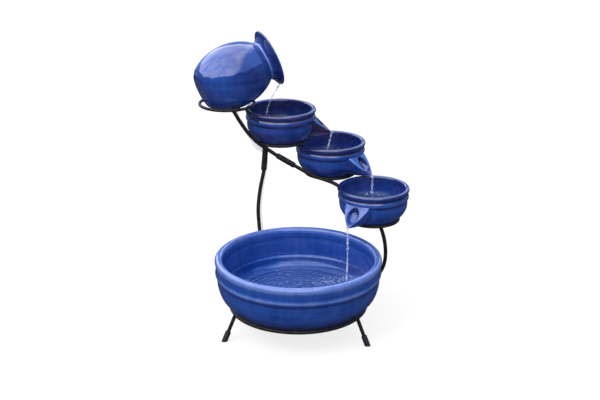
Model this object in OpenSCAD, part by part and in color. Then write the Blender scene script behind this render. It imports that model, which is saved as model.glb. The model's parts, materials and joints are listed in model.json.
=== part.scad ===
// Tabletop cascade fountain: a tilted jar and three spouted bowls stand in welded rod rings above a basin.
// A small pump in the basin feeds the jar through a hose.
// Origin: on the floor, under the middle of the bounding box.

/* [Basin] */
// Outer radius of the basin's rolled lip
basin_r = 170; // [150:1:190]
// Depth of the basin from the lip's top to the foot
basin_h = 101.5; // [90:0.5:120]
// Width of the rolled lip, measured across the top
basin_lip_w = 16; // [12:1:20]
// Radius of the inner floor
basin_floor_r = 128; // [110:1:134]
// Radius of the turned foot that stands on the ring
basin_foot_r = 140; // [130:1:146]
// Width of the turned foot
basin_foot_w = 12; // [8:1:18]
// Height of the recess inside the foot
basin_recess = 8; // [5:0.5:10]
// Thickness of the basin's floor
basin_floor_t = 12.5; // [10:0.5:16]
// Depth of the throwing grooves in the floor
groove_depth = 0.8; // [0.4:0.1:1.5]
// Spacing of the throwing grooves
groove_pitch = 17; // [12:1:25]

/* [Bowls] */
// Outer radius of a bowl's lip
bowl_r = 76; // [70:1:80]
// Thickness of a bowl's rounded lip
bowl_lip_t = 9; // [7:0.5:11]
// Radius of the waist under the ridge band
bowl_waist_r = 72; // [68:0.5:74]
// Distance from the lip's top to the waist
bowl_waist_drop = 20; // [18:0.5:24]
// Radius of the round belly seen in section
bowl_belly_r = 65; // [60:0.5:68]
// Wall thickness of a bowl
bowl_wall = 7.5; // [6:0.5:9]
// Height of a bowl from foot to lip
bowl_h = 75; // [74:0.5:76]
// Thickness of a bowl's floor
bowl_floor_t = 8; // [6:0.5:10]
// Angle below the horizontal at which the belly rests on its ring
seat_angle = 47; // [40:1:52]
// Radius from the bowl's axis to the spout's tip
spout_reach = 110; // [104:1:114]
// Height of the spout's tip below the lip's top
spout_drop = 57; // [52:1:60]
// Half width of the spout where it joins the wall
spout_half_w = 27; // [22:1:30]
// Radius of the hole from the bowl into the spout
spout_hole_r = 7; // [5:0.5:8]

/* [Cascade] */
// Upper bowl's axis, left and right of the basin's axis
upper_x = -38; // [-45:1:-32]
// Upper bowl's axis, behind the basin's axis
upper_y = 232; // [226:1:238]
// Top of the upper bowl's lip
upper_top = 405.5; // [403:0.5:409]
// Direction of the upper spout
upper_spout_az = 3; // [-5:1:10]
// Middle bowl's axis, left and right
middle_x = 69; // [64:1:74]
// Middle bowl's axis, behind the basin's axis
middle_y = 244; // [240:1:250]
// Top of the middle bowl's lip
middle_top = 329; // [326:0.5:330]
// Direction of the middle spout
middle_spout_az = -37; // [-42:1:-30]
// Lower bowl's axis, left and right
lower_x = 157; // [152:1:162]
// Lower bowl's axis, behind the basin's axis
lower_y = 128; // [124:1:132]
// Top of the lower bowl's lip
lower_top = 264; // [260:0.5:265]
// Direction of the lower spout
lower_spout_az = -121; // [-126:1:-112]

/* [Jar] */
// Half length of the jar's egg-shaped body along its axis
jar_a = 91; // [88:1:96]
// Half width of the jar's body
jar_b = 68; // [65:1:71]
// Wall thickness of the jar
jar_wall = 7; // [6:0.5:9]
// Distance from the body's middle to the flat thrown base
jar_base_s = 75; // [70:1:80]
// Distance from the body's middle to the neck
jar_neck_s = 71; // [67:1:75]
// Radius of the collar's lip
jar_lip_r = 62; // [56:1:66]
// Length of the flared collar
jar_collar = 20; // [16:1:26]
// Angle of the jar's axis above the horizontal
jar_tilt = 20.5; // [16:0.5:25]
// Compass direction of the jar's mouth
jar_az = 23; // [15:1:30]

/* [Frame] */
// Diameter of the rails and posts
rod_d = 8; // [7:0.5:9]
// Diameter of the rod that the bowl rings are bent from
ring_rod_d = 6.5; // [5.5:0.5:7.5]
// Diameter of a leg
leg_d = 7.5; // [6.5:0.5:9]
// Radius of the basin ring, to the middle of its rod
basin_ring_r = 137.5; // [134:0.5:139]
// Height of the basin ring's middle above the floor
basin_ring_z = 54.5; // [50:0.5:62]
// Jar ring's middle, left and right
jar_ring_x = -151; // [-158:1:-147]
// Jar ring's middle, behind the basin's axis
jar_ring_y = 222; // [216:1:226]
// Height of the jar ring
jar_ring_z = 417.5; // [416:0.5:422]
// Radius of the jar ring, to the middle of its rod
jar_ring_r = 58; // [55:0.5:59]
// Radius of the circle that the feet stand on
foot_circle_r = 162; // [155:1:172]
// Outer diameter of the rail's joining sleeve
sleeve_d = 12; // [11.5:0.5:14]
// Length of the rail's joining sleeve
sleeve_len = 42; // [34:1:50]
// Length of the socket that takes the left post
socket_len = 45; // [38:1:52]
// How far welded rods sink into each other
weld = 1; // [0.5:0.1:1.5]
// Sag of the rail between the jar ring and the upper ring
upper_sag = 11; // [6:1:14]

/* [Rubber feet] */
// Outer diameter of a rubber foot
foot_d = 11.5; // [10.5:0.5:14]
// Length of a rubber foot along its leg
foot_len = 21; // [18:1:28]
// Thickness of rubber under the leg's end
foot_sole = 4; // [3:0.5:6]

/* [Pump] */
// Width of the pump housing
pump_w = 44; // [42:1:48]
// Height of the pump housing
pump_h = 34; // [34:0.5:38]
// Depth of the pump housing behind its cover
pump_depth = 34; // [32:1:38]
// Depth of the intake cover
cover_depth = 14; // [12:0.5:16]
// Wall thickness of the pump's mouldings
pump_wall = 2; // [1.6:0.1:2.4]
// Pump's axis, left and right of the basin's axis
pump_x = -24; // [-30:1:-24]
// Front face of the housing, behind the basin's axis
pump_y = -102; // [-104:1:-96]
// Radius of the pump chamber
chamber_r = 13; // [12:0.5:13.5]
// Depth of the pump chamber
chamber_depth = 9; // [8:0.5:10]
// Radius of the rotor's magnet
magnet_r = 6.5; // [6:0.1:7]
// Length of the rotor's magnet
magnet_len = 18; // [15:1:19]
// Radius of the rotor's ceramic shaft
shaft_r = 1.2; // [1:0.1:1.5]
// Number of impeller vanes
vanes = 6; // [4:1:8]
// Height of a suction cup
cup_h = 3; // [3:0.5:4]
// Travel of the flow slider
flow_travel = 10; // [8:0.5:12]

/* [Plumbing] */
// Outer diameter of the hose
hose_od = 9; // [8:0.5:10]
// Inner diameter of the hose
hose_id = 6.2; // [5.6:0.1:6.4]
// Wall of the spigots that the hose pushes onto
spigot_wall = 1.2; // [0.9:0.1:1.4]
// Position of the floor fitting, left and right
fitting_x = 30; // [30:1:34]
// Position of the floor fitting, behind the basin's axis
fitting_y = -20; // [-26:1:-14]
// Radius of the fitting's stem
stem_r = 6; // [5.5:0.1:7]
// Radius of the fitting's flange
flange_r = 11; // [10:0.5:13]
// Thickness of the fitting's flange
flange_t = 3; // [2:0.5:4]
// Thickness of the rubber seal
seal_t = 2; // [1.5:0.1:3]
// Thickness of the fitting's nut
nut_t = 7; // [5:0.5:7.5]
// Outer radius of the rubber bush in the jar's underside
bush_r = 8; // [7:0.5:9]
// Width of the hose clip
clip_w = 7; // [5:0.5:9]
// Thickness of the hose clip's strap
clip_t = 1.4; // [1:0.1:2]

/* [Fits] */
// Gap between pieces that move past each other
gap = 0.3; // [0.25:0.05:0.4]
// Running clearance on a radius
run = 0.05; // [0.03:0.01:0.08]
// Push fit clearance on a radius
push = 0.1; // [0.05:0.05:0.15]

/* [Hidden] */

glaze = "#1f3c9c";
black_metal = "#1d1b18";
black_rubber = "#161616";
black_plastic = "#26272a";
clear_vinyl = "#c9d4d8";
steel = "#b9bcc0";
ceramic_white = "#ece9e2";

rod_r = rod_d / 2;
ring_rod_r = ring_rod_d / 2;
leg_r = leg_d / 2;
hose_r = hose_od / 2;
foot_plane = basin_ring_z + rod_r;
basin_top = foot_plane + basin_h;
basin_floor_z = foot_plane + basin_recess + basin_floor_t;

// Belly of a bowl: an arc about a point off the bowl's axis
belly_cx = bowl_waist_r - bowl_belly_r;
seat_r = belly_cx + (bowl_belly_r + ring_rod_r + gap) * cos(seat_angle);
seat_drop = bowl_waist_drop + (bowl_belly_r + ring_rod_r + gap) * sin(seat_angle);

// Turned foot of a bowl: it stands clear inside the ring, and the belly reaches down past its seat
foot_clear = 3.5;
foot_h = max(1.5, min(5, bowl_h - bowl_waist_drop - bowl_belly_r * sin(seat_angle + 2)));

upper_at = [upper_x, upper_y, upper_top];
middle_at = [middle_x, middle_y, middle_top];
lower_at = [lower_x, lower_y, lower_top];
jar_ring_at = [jar_ring_x, jar_ring_y, jar_ring_z];

// Jar: an egg on a tilted axis, lowered until it rests on its ring
jar_axis = [cos(jar_tilt) * cos(jar_az), cos(jar_tilt) * sin(jar_az), sin(jar_tilt)];
jar_reach_down = sqrt(pow(jar_a * sin(jar_tilt), 2) + pow(jar_b * cos(jar_tilt), 2));
jar_low_offset = (jar_a * jar_a - jar_b * jar_b) * sin(jar_tilt) * cos(jar_tilt) / jar_reach_down;
function jar_gap(p) =
    let (s = p * jar_axis)
    let (r = norm(p - s * jar_axis))
    (pow(s / jar_a, 2) + pow(r / jar_b, 2) - 1)
        / (2 * sqrt(pow(s, 2) / pow(jar_a, 4) + pow(r, 2) / pow(jar_b, 4)));
function ring_gap(depth) =
    let (shift = -jar_low_offset * depth / jar_reach_down)
    min([for (a = [0:6:354])
        jar_gap([shift * cos(jar_az) + jar_ring_r * cos(a),
                 shift * sin(jar_az) + jar_ring_r * sin(a), -depth])]);
function seat_depth(lo, hi, steps) =
    steps == 0 ? hi
    : ring_gap((lo + hi) / 2) < ring_rod_r + gap ? seat_depth((lo + hi) / 2, hi, steps - 1)
    : seat_depth(lo, (lo + hi) / 2, steps - 1);
jar_depth = seat_depth(20, 90, 24);
base_edge = 1.5;
jar_shift = jar_low_offset * jar_depth / jar_reach_down;
jar_at = jar_ring_at + [jar_shift * cos(jar_az), jar_shift * sin(jar_az), jar_depth];

// Extent of the whole object, for the origin under the middle of its box
jar_left = jar_at[0] - max([for (p = egg(jar_a, jar_b, -jar_base_s + base_edge, 0, 36))
    p[0] * sqrt(1 - pow(jar_axis[0], 2)) - p[1] * jar_axis[0]]);
box_left = min(jar_left, -basin_r);
box_right = max(lower_x + bowl_r, basin_r);
box_back = max(middle_y + bowl_r, upper_y + bowl_r);
box_front = -basin_r;
origin_x = (box_left + box_right) / 2;
origin_y = (box_front + box_back) / 2;

// Helpers for shapes

module placed() {
    translate([-origin_x, -origin_y, 0]) children();
}

// Turns +Z to point along v
module aim(v) {
    rotate([0, acos(v[2] / norm(v)), atan2(v[1], v[0])]) children();
}

// Cylinder of radius r from point p to point q
module bar(p, q, r) {
    translate(p) aim(q - p) cylinder(h = norm(q - p), r = r, $fn = 48);
}

module torus(ring_r, tube_r) {
    rotate_extrude($fn = 120) translate([ring_r, 0]) circle(r = tube_r, $fn = 40);
}

function unit(v) = v / norm(v);

// Catmull-Rom curve through the points of a route
function spline_point(p, i, t) =
    let (a = p[max(i - 1, 0)], b = p[i], c = p[i + 1], d = p[min(i + 2, len(p) - 1)])
    0.5 * (2 * b + (c - a) * t + (2 * a - 5 * b + 4 * c - d) * t * t + (3 * b - a - 3 * c + d) * t * t * t);
function smooth_route(p, steps) = concat(
    [for (i = [0:len(p) - 2]) for (k = [0:steps - 1]) spline_point(p, i, k / steps)],
    [p[len(p) - 1]]);

function tangent(p, i) = unit(p[min(i + 1, len(p) - 1)] - p[max(i - 1, 0)]);
function carried(side, t) = unit(side - (side * t) * t);
function sides_along(p, i, side) =
    i == len(p) ? []
    : let (s = carried(side, tangent(p, i))) concat([s], sides_along(p, i + 1, s));
function ring_points(p, i, side, r, n) =
    let (t = tangent(p, i), up = cross(t, side))
    [for (k = [0:n - 1]) p[i] + r * (cos(360 * k / n) * side + sin(360 * k / n) * up)];

// Solid rod swept along a route
module rod_along(p, r) {
    n = 16;
    sides = sides_along(p, 0, [0.3, 1, 0.2]);
    last = len(p) - 1;
    points = [for (i = [0:last]) each ring_points(p, i, sides[i], r, n)];
    skin = [for (i = [0:last - 1]) for (k = [0:n - 1])
        [i * n + k, i * n + (k + 1) % n, (i + 1) * n + (k + 1) % n, (i + 1) * n + k]];
    polyhedron(points, concat(skin, [[for (k = [n - 1:-1:0]) k]], [[for (k = [0:n - 1]) last * n + k]]),
               convexity = 10);
}

// Hollow tube swept along a route
module tube_along(p, r_out, r_in) {
    n = 12;
    sides = sides_along(p, 0, [0.3, 1, 0.2]);
    last = len(p) - 1;
    inner = (last + 1) * n;
    points = concat(
        [for (i = [0:last]) each ring_points(p, i, sides[i], r_out, n)],
        [for (i = [0:last]) each ring_points(p, i, sides[i], r_in, n)]);
    outside = [for (i = [0:last - 1]) for (k = [0:n - 1])
        [i * n + k, i * n + (k + 1) % n, (i + 1) * n + (k + 1) % n, (i + 1) * n + k]];
    inside = [for (i = [0:last - 1]) for (k = [0:n - 1])
        [inner + (i + 1) * n + k, inner + (i + 1) * n + (k + 1) % n,
         inner + i * n + (k + 1) % n, inner + i * n + k]];
    start = [for (k = [0:n - 1]) [inner + k, inner + (k + 1) % n, (k + 1) % n, k]];
    finish = [for (k = [0:n - 1])
        [last * n + k, last * n + (k + 1) % n, inner + last * n + (k + 1) % n, inner + last * n + k]];
    polyhedron(points, concat(outside, inside, start, finish), convexity = 10);
}

function arc(cx, cy, r, from, to, steps) =
    [for (i = [0:steps]) let (a = from + (to - from) * i / steps) [cx + r * cos(a), cy + r * sin(a)]];

// Ceramic pieces

// Section of the basin, with the foot's underside at height 0
module basin_section() {
    lip = basin_lip_w / 2;
    lip_z = basin_h - lip;
    floor_z = basin_recess + basin_floor_t;
    inner_r = basin_r - basin_lip_w;
    polygon(concat(
        [[0, basin_recess], [basin_foot_r - basin_foot_w - 2, basin_recess], [basin_foot_r - basin_foot_w, 0],
         [basin_foot_r - 1.5, 0], [basin_foot_r, 1.5]],
        [[basin_foot_r + (basin_r - basin_foot_r) / 3, floor_z / 2], [basin_r - 13, floor_z + 1],
         [basin_r - 7.5, floor_z + 17], [basin_r - 4, floor_z + 33], [basin_r - 5, lip_z - 33],
         [basin_r - 3, lip_z - 28], [basin_r - 0.8, lip_z - 25], [basin_r - 0.8, lip_z - 22],
         [basin_r - 2.2, lip_z - 18], [basin_r - 1.6, lip_z - 5]],
        arc(basin_r - lip, lip_z, lip, 0, 180, 18),
        [[inner_r + 1, lip_z - 8], [inner_r - 1.5, lip_z - 14], [inner_r - 0.5, lip_z - 17],
         [inner_r - 2, lip_z - 34], [inner_r - 3, lip_z - 41], [inner_r - 6, lip_z - 43],
         [inner_r - 8, lip_z - 55], [basin_floor_r + 8, floor_z + 5], [basin_floor_r, floor_z]],
        [for (g = [basin_floor_r - groove_pitch * 1.5:-groove_pitch:groove_pitch])
            each [[g + 4, floor_z], [g, floor_z - groove_depth], [g - 4, floor_z]]],
        [[0, floor_z]]));
}

module basin() {
    color(glaze) placed() difference() {
        translate([0, 0, foot_plane]) rotate_extrude($fn = 180) basin_section();
        translate([fitting_x, fitting_y, foot_plane]) cylinder(h = basin_h, r = stem_r + push, $fn = 48);
    }
}

// Section of a bowl, with the lip's top at height 0
module bowl_outside() {
    lip = bowl_lip_t / 2;
    foot_z = -bowl_h;
    waist = -bowl_waist_drop;
    low = asin((bowl_h - foot_h - bowl_waist_drop) / bowl_belly_r);
    foot_r = seat_r - ring_rod_r - foot_clear;
    polygon(concat(
        [[0, foot_z], [foot_r - 1, foot_z], [foot_r, foot_z + 0.2 * foot_h], [foot_r, foot_z + 0.8 * foot_h]],
        arc(belly_cx, waist, bowl_belly_r, -low, -6, 16),
        [[bowl_waist_r + 0.6, waist - 4.5], [bowl_waist_r + 2.2, waist - 3],
         [bowl_waist_r + 2.6, waist + 1.5],
         [bowl_waist_r + 2, waist + 5], [bowl_waist_r, waist + 7], [bowl_waist_r, waist + 9.5]],
        arc(bowl_r - lip - 0.5, -lip, lip + 0.5, -35, 90, 10),
        [[0, 0]]));
}

module bowl_inside() {
    lip = bowl_lip_t / 2;
    inner_r = bowl_belly_r - bowl_wall;
    floor_z = -bowl_h + bowl_floor_t;
    low = asin((bowl_h - bowl_floor_t - bowl_waist_drop) / inner_r);
    polygon(concat(
        [[0, floor_z]],
        arc(belly_cx, -bowl_waist_drop, inner_r, -low, 0, 16),
        [[belly_cx + inner_r, -lip * 2.4]],
        arc(bowl_r - lip - 0.5, -lip, lip + 0.5, 180, 90, 8),
        [[bowl_r, 1], [0, 1]]));
}

// Height of the sloping top face of the spout at distance u from the bowl's axis
spout_root_u = bowl_waist_r - 3;
spout_root_z = -bowl_waist_drop + 3;
spout_slope = atan2(spout_drop + spout_root_z, spout_reach - spout_root_u);
spout_len = norm([spout_reach - spout_root_u, spout_drop + spout_root_z]);

// Lays a shape drawn on the plane onto the spout's top face, x along the fall
module on_spout_face() {
    translate([spout_root_u, 0, spout_root_z]) rotate([0, spout_slope, 0]) children();
}

// Bud-shaped body of the spout, tip at the origin and its axis along +Z
bud_up = spout_slope - 19;
bud_len = 60;
bud_r = norm([spout_half_w, spout_len * sin(spout_slope - bud_up)]);
module bud() {
    steps = 7;
    rotate_extrude($fn = 96) polygon(concat(
        [[0, 0], [1.2, 0]],
        [for (i = [1:steps]) [bud_r * (1 - pow(1 - i / steps, 1.6)), bud_len * i / steps]],
        [[0, bud_len]]));
}

// The bud is cut off flat along the spout's top face, which leaves a leaf shape
module spout() {
    difference() {
        translate([spout_reach, 0, -spout_drop]) rotate([0, bud_up - 90, 0]) bud();
        on_spout_face() translate([-bud_len, -bud_len, 0]) cube([3 * bud_len, 2 * bud_len, 2 * bud_len]);
    }
}

// Oval hollow in the leaf, a groove from it to the tip, and the hole through the bowl's wall
module spout_channel() {
    oval_half_w = spout_half_w * 0.45;
    oval_half_len = oval_half_w * 1.4;
    on_spout_face() {
        translate([spout_len * 0.42, 0, -11]) linear_extrude(height = 14)
            polygon([for (a = [0:12:348]) [oval_half_len * cos(a), oval_half_w * sin(a)]]);
        translate([spout_len * 0.45, 0, 0]) rotate([0, 90, 0]) cylinder(h = spout_len, r = 2.6, $fn = 24);
    }
    translate([bowl_waist_r - 22, 0, -spout_hole_r - 24]) rotate([0, 90, 0])
        cylinder(h = 30, r = spout_hole_r, $fn = 48);
}

module bowl(at, spout_az) {
    color(glaze) placed() translate(at) rotate([0, 0, spout_az]) difference() {
        union() {
            rotate_extrude($fn = 144) bowl_outside();
            spout();
        }
        rotate_extrude($fn = 144) bowl_inside();
        spout_channel();
    }
}

// Section of the jar along its axis, the middle of the body at height 0
function egg(a, b, from, to, steps) =
    [for (i = [0:steps]) let (s = from + (to - from) * i / steps) [b * sqrt(1 - pow(s / a, 2)), s]];

module jar_section() {
    base_r = jar_b * sqrt(1 - pow(jar_base_s / jar_a, 2)) - 3;
    neck_r = jar_b * sqrt(1 - pow(jar_neck_s / jar_a, 2));
    mouth_s = jar_neck_s + jar_collar;
    in_a = jar_a - jar_wall;
    in_b = jar_b - jar_wall;
    in_neck_r = in_b * sqrt(1 - pow(jar_neck_s / in_a, 2));
    flare = jar_lip_r - neck_r;
    polygon(concat(
        [[0, -jar_base_s], [base_r, -jar_base_s]],
        egg(jar_a, jar_b, -jar_base_s + base_edge, jar_neck_s, 36),
        [[neck_r - 0.6, jar_neck_s + 1.5], [neck_r + flare * 0.10, jar_neck_s + jar_collar * 0.22],
         [neck_r + flare * 0.32, jar_neck_s + jar_collar * 0.45],
         [neck_r + flare * 0.62, jar_neck_s + jar_collar * 0.65],
         [neck_r + flare * 0.92, mouth_s - 4.2], [jar_lip_r, mouth_s - 2.4], [jar_lip_r - 0.3, mouth_s - 0.7],
         [jar_lip_r - 2, mouth_s], [jar_lip_r - 4.5, mouth_s - 0.6],
         [neck_r + flare * 0.5, mouth_s - 3.5], [neck_r + flare * 0.1, mouth_s - 8],
         [in_neck_r + 0.5, mouth_s - 14],
         [in_neck_r - 0.6, jar_neck_s + 2]],
        egg(in_a, in_b, jar_neck_s, -jar_base_s + jar_wall, 30),
        [[0, -jar_base_s + jar_wall]]));
}

// Hole for the hose in the jar's underside, straight up through the wall
jar_hole_reach = 40;
jar_hole_az = -58;
jar_hole = [jar_ring_x + jar_hole_reach * cos(jar_hole_az), jar_ring_y + jar_hole_reach * sin(jar_hole_az)];

// Height at which the vertical line over x, y enters an egg of half sizes a and b about the jar's middle
function under_egg(x, y, a, b) =
    let (p = [x - jar_at[0], y - jar_at[1], 0], k = 1 / (a * a) - 1 / (b * b))
    let (s0 = p * jar_axis, sz = jar_axis[2])
    let (qa = k * sz * sz + 1 / (b * b), qb = 2 * k * s0 * sz, qc = k * s0 * s0 + (p * p) / (b * b) - 1)
    jar_at[2] + (-qb - sqrt(qb * qb - 4 * qa * qc)) / (2 * qa);
function around_hole(a, b) = [for (t = [0:30:330])
    under_egg(jar_hole[0] + bush_r * cos(t), jar_hole[1] + bush_r * sin(t), a, b)];
bush_low = min(around_hole(jar_a, jar_b)) - 1;
bush_high = max(around_hole(jar_a - jar_wall, jar_b - jar_wall)) + 1;

module jar() {
    color(glaze) placed() difference() {
        translate(jar_at) aim(jar_axis) rotate_extrude($fn = 144) jar_section();
        translate([jar_hole[0], jar_hole[1], bush_low - 5])
            cylinder(h = bush_high - bush_low + 10, r = bush_r, $fn = 48);
    }
}

module jar_bush() {
    color(black_rubber) placed() translate([jar_hole[0], jar_hole[1], bush_low]) difference() {
        cylinder(h = bush_high - bush_low, r = bush_r, $fn = 48);
        translate([0, 0, -1]) cylinder(h = bush_high - bush_low + 2, r = hose_r + push, $fn = 48);
    }
}

// Welded rod frame

module jar_ring() {
    color(black_metal) placed() translate(jar_ring_at) torus(jar_ring_r, ring_rod_r);
}

module bowl_ring(at) {
    color(black_metal) placed() translate(at - [0, 0, seat_drop]) torus(seat_r, ring_rod_r);
}

module basin_ring() {
    color(black_metal) placed() translate([0, 0, basin_ring_z]) torus(basin_ring_r, rod_r);
}

// Middle of a rail where it passes under a ring and is welded to it
weld_drop = ring_rod_r + rod_r - weld;
function under_ring(at, r, az) = [at[0] + r * cos(az), at[1] + r * sin(az), at[2] - weld_drop];
// Middle of a rod's end that is welded to a ring from below
function below_ring(at, r, az) = [at[0] + r * cos(az), at[1] + r * sin(az), at[2] - ring_rod_r + weld];
ring_top = [0, 0, seat_drop];
jar_weld = below_ring(jar_ring_at, jar_ring_r, -73);
upper_weld = under_ring(upper_at - ring_top, seat_r, -126);
middle_weld = under_ring(middle_at - ring_top, seat_r, -90);
lower_weld = under_ring(lower_at - ring_top, seat_r, 146);
post_weld = below_ring(lower_at - ring_top, seat_r, -75);

function lerp(p, q, t) = p + (q - p) * t;
function sagging(p, q, sag, t) = lerp(p, q, t) - [0, 0, sag * 4 * t * (1 - t)];

// The sleeve lies on a straight stretch of the rail between the upper and the middle ring
middle_sag = 6;
sleeve_from = sagging(upper_weld, middle_weld, middle_sag, 0.18);
sleeve_dir = unit(sagging(upper_weld, middle_weld, middle_sag, 0.47) - sleeve_from);
sleeve_to = sleeve_from + sleeve_len * sleeve_dir;
sleeve_mid = lerp(sleeve_from, sleeve_to, 0.5);

straight_end = 5;
upper_rail_route = concat(
    [jar_weld, sagging(jar_weld, upper_weld, upper_sag, 0.25), sagging(jar_weld, upper_weld, upper_sag, 0.5),
     sagging(jar_weld, upper_weld, upper_sag, 0.76), upper_weld, sleeve_from - straight_end * sleeve_dir,
     sleeve_from, sleeve_mid - 0.5 * sleeve_dir]);
lower_rail_route = [sleeve_mid + 0.5 * sleeve_dir, sleeve_to - straight_end * sleeve_dir, sleeve_to,
    sleeve_to + straight_end * sleeve_dir, lerp(sleeve_to, middle_weld, 0.5) - [0, 1.5, 3.5],
    middle_weld - [0, 0.5, 0],
    lerp(middle_weld, lower_weld, 0.35) + [3, 7, 13], lerp(middle_weld, lower_weld, 0.65) + [6, 12, 13.5],
    lerp(middle_weld, lower_weld, 0.85) + [0.5, 8.5, 6.5], lower_weld];

module upper_rail() {
    color(black_metal) placed() rod_along(smooth_route(upper_rail_route, 5), rod_r);
}

module lower_rail() {
    color(black_metal) placed() rod_along(smooth_route(lower_rail_route, 5), rod_r);
}

module rail_sleeve() {
    color(black_metal) placed() difference() {
        bar(sleeve_from, sleeve_to, sleeve_d / 2);
        bar(sleeve_from - sleeve_dir, sleeve_to + sleeve_dir, rod_r + push);
    }
}

// Left post: pushed into a socket under the upper ring, bowed outwards, hooked in to the basin ring
socket_dir = unit([-0.085, -0.025, -1]);
socket_from = upper_weld + (rod_r - weld) * socket_dir;
socket_to = socket_from + socket_len * socket_dir;
left_ring_az = 119;
right_ring_az = 30;
function on_basin_ring(az, r, z) = [r * cos(az), r * sin(az), z];

// A point beside the basin: x and y as shares of its radius, z as a share of its depth above the basin ring
function beside(x, y, z) = [x * basin_r, y * basin_r, basin_ring_z + z * basin_h];
left_bend = [beside(-0.482, 1.065, 1.803), beside(-0.506, 1.018, 1.409), beside(-0.494, 0.982, 1.044),
    beside(-0.476, 0.953, 0.719), beside(-0.471, 0.918, 0.433), beside(-0.459, 0.865, 0.197)];
left_post_route = concat(
    [socket_from + 5 * socket_dir, socket_to - 15 * socket_dir, socket_to, socket_to + 6 * socket_dir],
    left_bend,
    [on_basin_ring(left_ring_az, basin_ring_r + 2.06 * rod_d, basin_ring_z + rod_r),
     on_basin_ring(left_ring_az, basin_ring_r + rod_d - weld, basin_ring_z),
     on_basin_ring(left_ring_az, basin_ring_r + rod_r - weld, basin_ring_z - rod_r / 8)]);
right_post_route = [post_weld, beside(1.047, 0.471, 1.113), beside(1.071, 0.500, 0.847),
    beside(1.071, 0.529, 0.601), beside(1.047, 0.541, 0.414), beside(0.988, 0.524, 0.246),
    beside(0.900, 0.488, 0.108),
    on_basin_ring(right_ring_az, basin_ring_r + 2.31 * rod_d, basin_ring_z + rod_r / 2),
    on_basin_ring(right_ring_az, basin_ring_r + rod_d - weld, basin_ring_z),
    on_basin_ring(right_ring_az, basin_ring_r + rod_r - weld, basin_ring_z - rod_r / 8)];

module left_post() {
    color(black_metal) placed() rod_along(smooth_route(left_post_route, 4), rod_r);
}

module left_post_socket() {
    color(black_metal) placed() difference() {
        bar(socket_from, socket_to, sleeve_d / 2);
        bar(socket_from + 4 * socket_dir, socket_to + socket_dir, rod_r + push);
    }
}

module right_post() {
    color(black_metal) placed() rod_along(smooth_route(right_post_route, 4), rod_r);
}

// Legs splay outwards from the basin ring
left_leg_az = -157;
right_leg_az = -31;
rear_leg_az = 86;
function leg_top(az) = on_basin_ring(az, basin_ring_r, basin_ring_z);
function leg_end(az) = on_basin_ring(az, foot_circle_r, 0);
function leg_dir(az) = unit(leg_end(az) - leg_top(az));

module leg(az) {
    color(black_metal) placed() difference() {
        bar(leg_top(az), leg_end(az) - foot_sole * leg_dir(az) / -leg_dir(az)[2], leg_r);
        translate([0, 0, basin_ring_z]) torus(basin_ring_r, rod_r);
    }
}

module foot(az) {
    dir = leg_dir(az);
    leg_stop = leg_end(az) - foot_sole * dir / -dir[2];
    color(black_rubber) placed() difference() {
        bar(leg_end(az) - foot_len * dir, leg_end(az) + foot_d * dir, foot_d / 2);
        translate([0, 0, -foot_d * 2]) cylinder(h = foot_d * 2, r = foot_circle_r * 2, $fn = 48);
        bar(leg_stop - foot_len * dir, leg_stop, leg_r);
    }
}

// Pump, with its rotor's axis running front to back

pump_z = basin_floor_z + cup_h + pump_h / 2;
well_r = magnet_r + 0.5;
well_depth = magnet_len + 2;
step_w = pump_wall + gap;
step_depth = 3;
outlet_z = -chamber_r + 5;
spigot_r = hose_id / 2 - push;
spigot_len = 10;
bush_out_r = shaft_r + 1.6;
bush_len = 3;

module at_pump() {
    placed() translate([pump_x, pump_y, pump_z]) children();
}

// Cylinder along +Y from y = from to y = to
module along_y(from, to, r) {
    translate([0, from, 0]) rotate([-90, 0, 0]) cylinder(h = to - from, r = r, $fn = 48);
}

module block(w, from, to, h) {
    translate([-w / 2, from, -h / 2]) cube([w, to - from, h]);
}

module at_cups() {
    for (sx = [-1, 1], y = [8, pump_depth - 8])
        translate([sx * (pump_w / 2 - 8), y, -pump_h / 2]) children();
}

module pump_housing() {
    color(black_plastic) at_pump() difference() {
        union() {
            block(pump_w, 0, pump_depth, pump_h);
            block(pump_w - 2 * step_w, -step_depth, 1, pump_h - 2 * step_w);
        }
        along_y(-step_depth - 1, chamber_depth, chamber_r);
        along_y(chamber_depth - 1, chamber_depth + well_depth, well_r);
        along_y(chamber_depth + well_depth - 1, chamber_depth + well_depth + bush_len - 1, bush_out_r);
        translate([0, chamber_depth / 2, outlet_z]) rotate([0, 90, 0])
            cylinder(h = pump_w, r = spigot_r, $fn = 48);
        translate([0, 0, pump_h / 2 - 9]) along_y(pump_depth - 4, pump_depth + 1, 4);
        at_cups() translate([0, 0, -1]) cylinder(h = 4, r = 1.8, $fn = 24);
    }
}

// Plate that closes the pump chamber, with the eye of the pump and a spider for the front bush
module impeller_cover() {
    eye_r = chamber_r * 0.5;
    color(black_plastic) at_pump() difference() {
        union() {
            difference() {
                along_y(-step_depth, -step_depth + pump_wall, chamber_r);
                along_y(-step_depth - 1, 0, eye_r);
            }
            for (a = [90, 210, 330])
                rotate([0, a, 0]) translate([0, -step_depth, -0.9]) cube([eye_r + 1, pump_wall, 1.8]);
            along_y(-step_depth - 1, -step_depth + pump_wall, bush_out_r + 1.2);
        }
        along_y(-step_depth + pump_wall - bush_len + 0.5, 1, bush_out_r);
    }
}

module shaft_bushes() {
    front_from = -step_depth + pump_wall - bush_len + 0.5;
    back_from = chamber_depth + well_depth;
    color(black_rubber) at_pump() for (from = [front_from, back_from - 1])
        difference() {
            along_y(from, from + bush_len - (from == front_from ? 0.5 : 0), bush_out_r);
            along_y(from - 1, from + bush_len + 1, shaft_r);
        }
}

module impeller_shaft() {
    color(ceramic_white) at_pump()
        along_y(-step_depth + pump_wall - bush_len + 0.5, chamber_depth + well_depth + bush_len - 1, shaft_r);
}

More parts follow.
